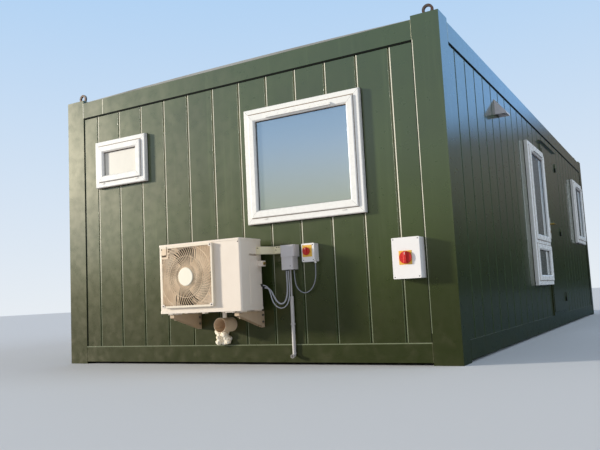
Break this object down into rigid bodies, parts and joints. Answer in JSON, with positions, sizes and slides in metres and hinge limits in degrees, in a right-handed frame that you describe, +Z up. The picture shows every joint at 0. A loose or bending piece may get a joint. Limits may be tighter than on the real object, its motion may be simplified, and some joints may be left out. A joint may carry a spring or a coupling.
{
  "type": "portable steel cabin",
  "caption": "Flat-roofed steel cabin with grooved walls, framed windows, an outward-opening door and an outdoor air-conditioning unit on one end.",
  "frame": {"origin": "middle of the underside of the front left corner post", "axes": "+X along the front end to the right, +Y from the front end to the back, +Z up"},
  "size_m": [3.8173, 7.7743, 2.5389],
  "materials": {
    "green_steel": "satin dark juniper green paint",
    "roof_steel": "weathered grey coated steel",
    "wall_lining": "pale faced board",
    "floor_board": "sheet vinyl on boarding",
    "timber": "sawn softwood",
    "white_upvc": "white extruded window plastic",
    "window_glass": "clear sealed panes",
    "lifting_steel": "forged steel, worn paint",
    "hinge_steel": "dull zinc plate",
    "handle_metal": "satin",
    "vent_plastic": "pale moulded plastic",
    "unit_white": "off-white baked enamel",
    "guard_plastic": "off-white moulded plastic",
    "fan_plastic": "grey moulded plastic",
    "motor_steel": "black enamel",
    "bracket_steel": "powder coated",
    "cream_plastic": "cream moulded plastic",
    "isolator_grey": "pale grey moulded plastic",
    "plate_yellow": "yellow enamelled plate",
    "pipe_lagging": "cream foam lagging",
    "knob_red": "red moulded plastic",
    "pipe_white": "white overflow pipe",
    "soil_pipe": "buff drain pipe",
    "foam": "cured expanding foam",
    "cable_grey": "grey sheath"
  },
  "bodies": {
    "cabin": {"corner_post_front_left": "green_steel", "corner_post_front_right": "green_steel", "corner_post_back_left": "green_steel", "corner_post_back_right": "green_steel", "top_rails_ends": "green_steel", "top_rails_sides": "green_steel", "bottom_rails_ends": "green_steel", "bottom_rails_sides": "green_steel", "front_sheet": "green_steel", "back_sheet": "green_steel", "left_sheet": "green_steel", "right_sheet": "green_steel", "drip_strip": "green_steel", "door_frame": "green_steel", "roof_deck": "roof_steel", "front_wall": "wall_lining", "back_wall": "wall_lining", "left_wall": "wall_lining", "right_wall_near": "wall_lining", "right_wall_far": "wall_lining", "right_wall_over_door": "wall_lining", "ceiling_panel": "wall_lining", "floor_deck": "floor_board", "floor_joists": "timber", "front_window_frames": "white_upvc", "front_window_sashes": "white_upvc", "right_window_frames": "white_upvc", "right_window_sashes": "white_upvc", "rear_window_frames": "white_upvc", "rear_window_sashes": "white_upvc", "trickle_vents": "white_upvc", "window_glass": "window_glass", "lifting_eyes": "lifting_steel", "door_hinges": "hinge_steel", "vent_cowl": "vent_plastic", "ac_casing": "unit_white", "ac_fan_guard": "guard_plastic", "ac_motor": "motor_steel", "ac_brackets": "bracket_steel", "cable_trunking": "cream_plastic", "elbow_box": "cream_plastic", "small_isolator": "isolator_grey", "large_isolator": "isolator_grey", "isolator_plates": "plate_yellow", "refrigerant_pipes": "pipe_lagging", "drain_pipe": "pipe_white", "pipe_stub": "soil_pipe", "pipe_foam": "foam", "cable_thin": "cable_grey", "cable_thick": "cable_grey", "isolator_cable": "cable_grey"},
    "door": {"door_leaf": "green_steel", "door_handle_plates": "handle_metal"},
    "lever": {"door_lever": "handle_metal"},
    "fan": {"ac_fan": "fan_plastic"},
    "small_knob": {"small_isolator_knob": "knob_red"},
    "large_knob": {"large_isolator_knob": "knob_red"}
  },
  "joints": [
    {"name": "door_swing", "type": "hinge", "parent": "cabin", "child": "door", "pos_m": [3.5755, 4.399, 1.15], "axis": [0, 0, 1], "range_deg": [0, 100]},
    {"name": "lever_turn", "type": "hinge", "parent": "door", "child": "lever", "pos_m": [3.5675, 3.655, 1.196], "axis": [-1, 0, 0], "range_deg": [0, 40], "stiffness_Nm_per_rad": 1.5, "springref_deg": -22.92},
    {"name": "fan_spin", "type": "hinge", "parent": "cabin", "child": "fan", "pos_m": [1.5775, -0.357, 0.7], "axis": [0, 1, 0], "continuous": true},
    {"name": "small_knob_turn", "type": "hinge", "parent": "cabin", "child": "small_knob", "pos_m": [2.4555, -0.159, 0.838], "axis": [0, 1, 0], "range_deg": [0, 90]},
    {"name": "large_knob_turn", "type": "hinge", "parent": "cabin", "child": "large_knob", "pos_m": [3.2375, -0.189, 0.735], "axis": [0, 1, 0], "range_deg": [0, 90]}
  ]
}
